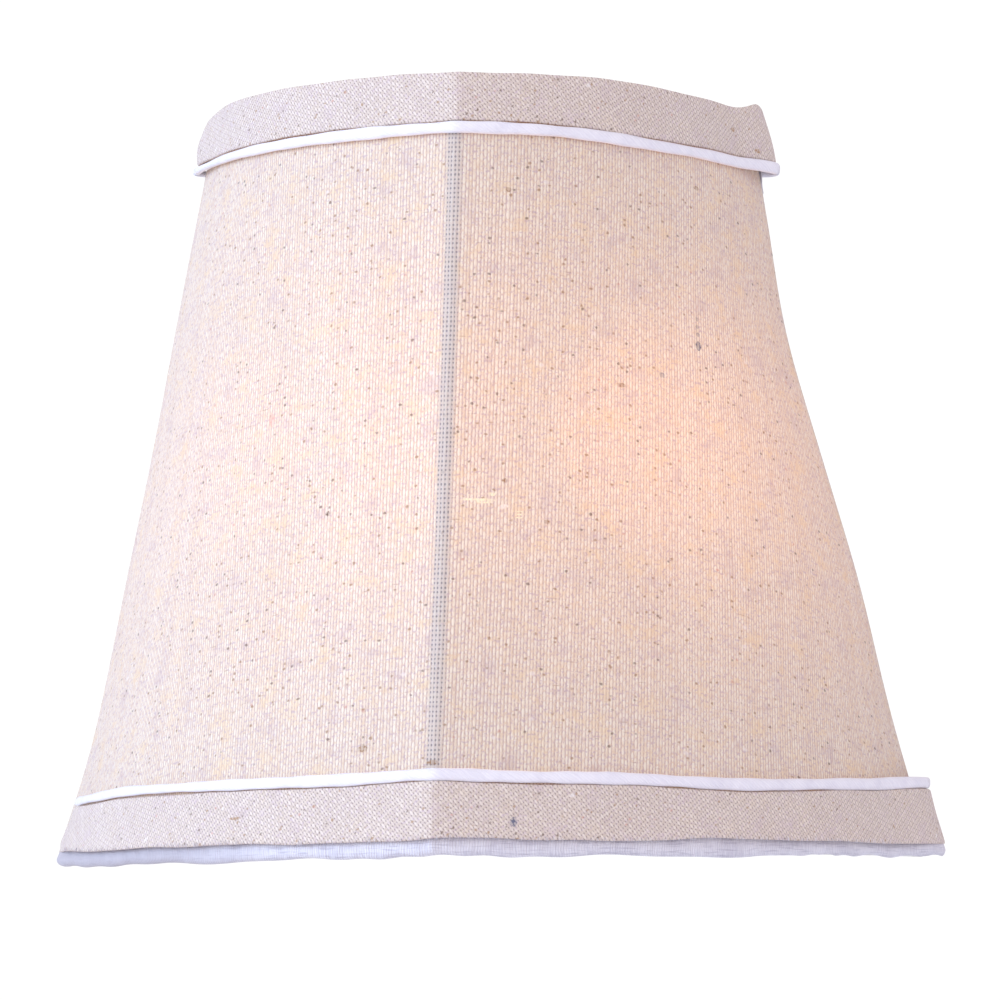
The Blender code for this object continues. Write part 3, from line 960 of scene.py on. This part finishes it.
def thread_colours(made, u, v, threads, pale, tan, gap):
    """Each thread's own colour, which changes along it, and the dark gaps between them."""
    height, on_top, warp_number, weft_number = threads
    warp_tone = made.times_add(
        made.random(warp_number), 0.16, made.noise(made.at(u, v, 0.45, 1.6))
    )
    weft_tone = made.times_add(
        made.random(weft_number), 0.16, made.noise(made.at(u, v, 2.2, 0.6))
    )
    warp_colour = made.mix(made.fade(warp_tone, 0.28, 0.74), tan, pale)
    weft_colour = made.mix(made.fade(weft_tone, 0.42, 1.00), tan, pale)
    colour = made.mix(on_top, weft_colour, warp_colour)
    return made.mix(made.fade(height, 0.66, 0.20), colour, gap)


def mottled(made, u, v, colour, straw):
    """Patches of straw and mauve, and slubs. Returns the fine mottling too."""
    patch = made.noise(made.at(u, v, 5.0, 4.0), 3.0, 0.6)
    colour = made.mix(made.scale(made.fade(patch, 0.52, 0.70), 0.0, straw), colour, LINEN_STRAW)
    colour = made.mix(made.scale(made.fade(patch, 0.46, 0.30), 0.0, 0.30), colour, LINEN_MAUVE)
    mottle = made.noise(made.at(u, v, 0.7, 0.55), 2.0)
    mauve = made.scale(made.fade(mottle, 0.53, 0.70), 0.0, MAUVE_SHARE)
    colour = made.mix(mauve, colour, LINEN_MAUVE)
    slub = made.noise(made.at(u, v, 3.0, 0.42), 2.0)
    colour = made.mix(made.times(made.fade(slub, 0.66, 0.78), 0.45), colour, SLUB_BROWN)
    return colour, mottle


def specked(made, u, v, colour, mottle):
    """Scattered specks with ragged edges, and a few pale nubs."""
    for size, keep, tint, strength in SPECKS:
        distance, luck = made.dots(made.at(u, v, size * 1.25, size))
        distance = made.times_add(mottle, 0.55 / size, distance)
        spot = made.fade(distance, SPECK_EDGE[0] / size, SPECK_EDGE[1] / size)
        chosen = made.times(spot, made.math("GREATER_THAN", luck, keep))
        colour = made.mix(made.times(chosen, strength), colour, tint)
    distance, luck = made.dots(made.at(u, v, 3.1, 2.3))
    nub = made.times(made.fade(distance, 0.22, 0.08), made.math("LESS_THAN", luck, 0.05))
    return made.mix(made.times(nub, 0.5), colour, NUB_WHITE)


def rib_wire_and_painted_shadow(made, u, v, wander_u, wander_v, colour):
    """The grey band along the rib: the wire showing dark between the threads, and the wire's shadow painted
    on as greyed threads.
    """
    uneven = made.noise(made.at(u, v, 0.9, 2.2))
    side = made.math("ABSOLUTE", made.math("SUBTRACT", u, RIB_MIDDLE))
    side = made.times_add(uneven, 0.9, side)
    band = made.fade(side, *RIB_EDGE)
    holes = made.times(netting(made, wander_u, WARP_PITCH), netting(made, wander_v, WEFT_PITCH))
    holes = made.times(holes, made.scale(made.noise(made.at(u, v, 0.5, 0.6)), 0.1, 1.9))
    wire_and_shadow_colour = made.mix(made.fade(holes, 0.08, 0.45), RIB_SHADOWED_THREAD, RIB_WIRE_SHADOW_GAP)
    fading = made.times(band, made.scale(made.noise(made.at(u, v, 3.0, 9.0)), 0.40, 1.05))
    return made.mix(fading, colour, wire_and_shadow_colour)


def marked(made, u, v, colour, marks, on_top):
    """The marks listed, which show less on the threads that lie on top."""
    ragged = made.times(made.noise(made.at(u, v, 0.5, 0.3)), 1.6)
    for out, up, half_length, half_height, tint in marks:
        far_u = made.math("DIVIDE", made.math("SUBTRACT", u, out), half_length)
        far_v = made.math("DIVIDE", made.math("SUBTRACT", v, up), half_height)
        far = made.times_add(far_u, far_u, made.times(far_v, far_v))
        shape = made.fade(made.math("ADD", far, ragged), 2.2, 1.2)
        over = made.scale(on_top, 1.0, 0.45)
        colour = made.mix(made.times(shape, over), colour, tint)
    return colour


def linen_finish(name, degrees, palette, marks, rib):
    """Slubby linen. rib is true for the cover, which shows the rib's wire between its threads with the wire's
    shadow painted round it, and lets the lamp's light through.
    """
    made = Finish(name)
    u, v = made.cloth_place(degrees)
    if not rib:
        u = made.times(u, BIAS_FINENESS)
        v = made.times(v, BIAS_FINENESS)
    wander_u = wandered(made, u, made.at(u, v, 1.1, 16.0), 0.36)
    wander_v = wandered(made, v, made.at(u, v, 16.0, 1.3), 0.50)
    threads = weave(made, wander_u, wander_v, COVER_WEAVE if rib else BIAS_WEAVE)
    height, on_top = threads[:2]
    colour = thread_colours(made, u, v, threads, *palette)
    colour, mottle = mottled(made, u, v, colour, COVER_STRAW if rib else BIAS_STRAW)
    colour = specked(made, u, v, colour, mottle)
    u, v = made.cloth_place()
    if rib:
        # painted shadow of the rib's wire, with the wire itself showing between the threads
        colour = rib_wire_and_painted_shadow(made, u, v, wander_u, wander_v, colour)
    colour = marked(made, u, v, colour, marks, on_top)
    made.shade("Base Color", colour)
    made.shade("Roughness", made.scale(height, 0.98, 0.78))
    made.shade("Normal", made.bump(height, LINEN_RELIEF))
    made.shade("Sheen Weight", 0.12)
    made.shade("Sheen Roughness", 0.5)
    made.shade("Specular IOR Level", 0.25)
    if rib:
        made.let_light_through(colour, COVER_SEE_THROUGH)
    return made.material


SATIN_STREAK = (0.46, 0.43, 0.50)
# painted shade: the colour the binding darkens to at its left end, where it turns under away from the light
SATIN_PAINTED_SHADE = (0.42, 0.38, 0.42)
LINING_SATIN = ((0.88, 0.87, 0.90), (0.78, 0.76, 0.80))
PIPING_SATIN = ((0.88, 0.85, 0.88), (0.76, 0.73, 0.79))
BINDING_SATIN = ((0.79, 0.76, 0.80), (0.56, 0.53, 0.60))
# where along the binding that painted shade sets in and where it is whole, in millimetres
BINDING_PAINTED_SHADE_SPAN = (-20.0, -62.0)
FINE_RELIEF = 0.00004
BINDING_RELIEF = 0.00007


def satin_finish(name, colours, rib_pitch, degrees, depth, see_through=0.0, painted_shade_end=None):
    """A white weft-faced cloth with fine ribs. Its last argument, if given, is the span in millimetres over
    which painted shade darkens the cloth towards its left end.
    """
    colour, shade = colours
    made = Finish(name)
    u, v = made.cloth_place(degrees)
    plain_u, plain_v = u, v
    sway = made.noise(made.at(u, v, 6.0, 1.5))
    u = made.times_add(made.math("SUBTRACT", sway, 0.5), 0.5, u)
    ribs = made.math("SINE", made.times(u, 2 * math.pi / rib_pitch))
    ribs = made.scale(ribs, 0.0, 0.5)
    threads = made.noise(made.at(u, v, 0.35, 3.0), 3.0)
    cloudy = made.noise(made.at(u, v, 7.0, 3.0), 3.0)
    tone = made.times_add(threads, 0.5, made.times(cloudy, 0.5))
    tint = made.mix(made.fade(tone, 0.30, 0.62), shade, colour)
    tint = made.mix(made.times(made.fade(ribs, 0.2, -0.4), 0.35), tint, shade)
    if painted_shade_end:
        streak = made.noise(made.at(plain_u, plain_v, 4.5, 0.30), 2.0)
        tint = made.mix(made.times(made.fade(streak, 0.52, 0.68), 0.7), tint, SATIN_STREAK)
        # painted shade towards the left end, where the strip turns under away from the light
        left_end_painted_shade = made.times(made.fade(plain_u, painted_shade_end[0], painted_shade_end[1]), 0.8)
        tint = made.mix(left_end_painted_shade, tint, SATIN_PAINTED_SHADE)
    made.shade("Base Color", tint)
    made.shade("Roughness", made.scale(cloudy, 0.38, 0.62))
    relief = made.math("ADD", ribs, made.times(threads, 0.8))
    made.shade("Normal", made.bump(relief, depth))
    made.shade("Sheen Weight", 0.25)
    made.shade("Specular IOR Level", 0.4)
    if see_through:
        made.let_light_through(tint, see_through)
    return made.material


PLATED = ((0.74, 0.72, 0.68), (0.56, 0.52, 0.46))
BRASSED = ((0.80, 0.66, 0.42), (0.58, 0.45, 0.27))
PIT_DARK = (0.16, 0.13, 0.11)
STEEL_RELIEF = 0.00002


def steel_finish(name, colour, dull):
    """Drawn and plated wire: fine lines, dull patches and small dark spots."""
    made = Finish(name)
    place = made.add("ShaderNodeTexCoord").outputs["Object"]
    split = made.add("ShaderNodeSeparateXYZ")
    made.feed(split.inputs[0], place)
    x = made.times(split.outputs[0], MM)
    z = made.times(made.math("ADD", split.outputs[1], split.outputs[2]), MM)
    lines = made.noise(made.at(x, z, 5.0, 0.12), 3.0)
    patches = made.noise(made.at(x, z, 3.0, 3.0), 4.0)
    distance, luck = made.dots(made.at(x, z, 1.8, 1.8))
    pit = made.times(made.fade(distance, 0.16, 0.06), made.math("GREATER_THAN", luck, 0.7))
    tint = made.mix(made.fade(patches, 0.45, 0.7), colour, dull)
    tint = made.mix(made.times(pit, 0.7), tint, PIT_DARK)
    made.shade("Base Color", tint)
    made.shade("Metallic", 1.0)
    made.shade("Roughness", made.scale(patches, 0.22, 0.50))
    made.shade("Normal", made.bump(made.math("ADD", lines, pit), STEEL_RELIEF))
    return made.material


# ---------------- studio


FILL_COLOUR = (0.87, 0.83, 0.92)
FILL_STRENGTH = 0.92
FLOOR_LEVEL = -1.6
FLOOR_HALF_SIZE = 60.0
FLOOR_COLOUR = (0.9, 0.9, 0.91, 1)
BACKDROP_COLOUR = (1, 1, 1)
BACKDROP_STRENGTH = 1.05
SUNS = (  # where each soft light comes from, its colour, strength and spread
    (Vector((-1.0, -0.30, 0.20)), (0.48, 0.70, 1.0), 2.8, math.radians(50)),
    (Vector((-0.10, -1.0, 0.10)), (0.92, 0.94, 1.0), 1.2, math.radians(60)),
)
LAMP_PLACE = (0.009, 0.023, 0.062)
LAMP_SIZE = 0.010
LAMP_COLOUR = (1.0, 0.52, 0.22)
LAMP_POWER = 0.050
CAMERA_PLACE = Vector((0.1258, -1.0265, -0.0307))
CAMERA_YAW = math.radians(-6.6)
CAMERA_PITCH = math.radians(5.03)
CAMERA_ROLL = math.radians(-0.63)
LENS = 225.0
SENSOR_WIDTH = 36.0


def make_floor():
    size = FLOOR_HALF_SIZE
    mesh = bpy.data.meshes.new("floor")
    corners = [(-size, -size, 0), (size, -size, 0), (size, size, 0), (-size, size, 0)]
    mesh.from_pydata(corners, [], [(0, 1, 2, 3)])
    floor = linked("floor", mesh)
    floor.location.z = FLOOR_LEVEL
    made = Finish("floor_paint")
    made.shade("Base Color", FLOOR_COLOUR)
    made.shade("Roughness", 0.9)
    mesh.materials.append(made.material)
    floor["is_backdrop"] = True


def make_world():
    """A white backdrop for the camera, and a tinted fill for everything else."""
    world = bpy.data.worlds.new("studio")
    world.use_nodes = True
    tree = world.node_tree
    tree.nodes.clear()
    both = tree.nodes.new("ShaderNodeMixShader")
    for place, colour, strength in (
        (1, FILL_COLOUR, FILL_STRENGTH), (2, BACKDROP_COLOUR, BACKDROP_STRENGTH)
    ):
        background = tree.nodes.new("ShaderNodeBackground")
        background.inputs["Color"].default_value = (*colour, 1)
        background.inputs["Strength"].default_value = strength
        tree.links.new(background.outputs[0], both.inputs[place])
    path = tree.nodes.new("ShaderNodeLightPath")
    output = tree.nodes.new("ShaderNodeOutputWorld")
    tree.links.new(path.outputs["Is Camera Ray"], both.inputs[0])
    tree.links.new(both.outputs[0], output.inputs["Surface"])
    bpy.context.scene.world = world


def make_lights(opaque):
    """Soft lights from the left and the front, and the lamp inside, which only opaque pieces block."""
    for direction, colour, strength, spread in SUNS:
        sun = bpy.data.lights.new("soft_light", "SUN")
        sun.energy = strength
        sun.color = colour
        sun.angle = spread
        sun_object = linked("soft_light", sun)
        sun_object.rotation_mode = "QUATERNION"
        sun_object.rotation_quaternion = direction.to_track_quat("Z", "Y")
    lamp = bpy.data.lights.new("lamp", "POINT")
    lamp.energy = LAMP_POWER
    lamp.color = LAMP_COLOUR
    lamp.shadow_soft_size = LAMP_SIZE
    lamp_object = linked("lamp", lamp)
    lamp_object.location = LAMP_PLACE
    lamp_object.visible_camera = False
    blockers = bpy.data.collections.new("lamp_blockers")
    for piece in opaque:
        blockers.objects.link(piece)
    lamp_object.light_linking.blocker_collection = blockers


def make_camera():
    data = bpy.data.cameras.new("camera")
    data.lens = LENS
    data.sensor_width = SENSOR_WIDTH
    data.clip_start = 0.05
    data.clip_end = 200.0
    camera = linked("camera", data)
    level = math.cos(CAMERA_PITCH)
    forward = Vector((
        math.sin(CAMERA_YAW) * level, math.cos(CAMERA_YAW) * level, math.sin(CAMERA_PITCH)
    ))
    right = Vector((math.cos(CAMERA_YAW), -math.sin(CAMERA_YAW), 0))
    up = right.cross(forward)
    rolled_right = math.cos(CAMERA_ROLL) * right + math.sin(CAMERA_ROLL) * up
    rolled_up = math.cos(CAMERA_ROLL) * up - math.sin(CAMERA_ROLL) * right
    turned = Matrix((rolled_right, rolled_up, -forward)).transposed()
    camera.matrix_world = Matrix.Translation(CAMERA_PLACE) @ turned.to_4x4()
    bpy.context.scene.camera = camera


def finish_clip(steel):
    """Metal for the CAD solids of the bar and the clip."""
    brass = steel_finish("brassed_spring_steel", *BRASSED)
    for node in (
        "clip_bar", "left_clip_stop", "right_clip_stop", "clip_sleeve", "left_clip_loop", "right_clip_loop"
    ):
        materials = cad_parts[node].data.materials
        materials.clear()
        materials.append(steel if node == "clip_bar" else brass)


def bias_linen(word, marks):
    palette = (BIAS_PALE, BIAS_TAN, BIAS_GAP)
    return linen_finish(word + "_bias_linen_cloth", BIAS_TURN, palette, marks, rib=False)


def make_shade():
    steel = steel_finish("plated_wire", *PLATED)
    linen = linen_finish(
        "natural_linen_cloth", 0.0, (LINEN_PALE, LINEN_TAN, LINEN_GAP), COVER_MARKS, rib=True
    )
    bottom_linen = bias_linen("bottom", BOTTOM_TRIM_MARKS)
    top_linen = bias_linen("top", TOP_TRIM_MARKS)
    lining_satin = satin_finish(
        "lining_satin", LINING_SATIN, 0.5, 0.0, FINE_RELIEF, see_through=LINING_SEE_THROUGH
    )
    piping_satin = satin_finish("piping_satin", PIPING_SATIN, 0.4, 60.0, FINE_RELIEF)
    binding_satin = satin_finish(
        "binding_satin", BINDING_SATIN, 0.45, 0.0, BINDING_RELIEF, painted_shade_end=BINDING_PAINTED_SHADE_SPAN
    )
    make_wires(steel)
    make_cover(linen)
    make_lining(lining_satin)
    for word in ("bottom", "top"):
        make_binding(word, binding_satin)
    make_piping("bottom", piping_satin, bottom_piping_lift)
    make_piping("top", piping_satin, top_piping_drop)
    make_trim("bottom", bottom_linen, low_edge_wander, bottom_piping_lift)
    make_trim("top", top_linen, top_piping_drop, top_edge_lift)
    finish_clip(steel)
    make_edge_tape(lining_satin)
    make_fray(binding_satin)


def main():
    bpy.context.scene.view_settings.view_transform = "Standard"
    make_camera()
    make_shade()
    make_floor()
    make_world()
    opaque = [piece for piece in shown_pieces() if piece.name not in ("linen_cloth", "lining_cloth")]
    make_lights(opaque)


main()
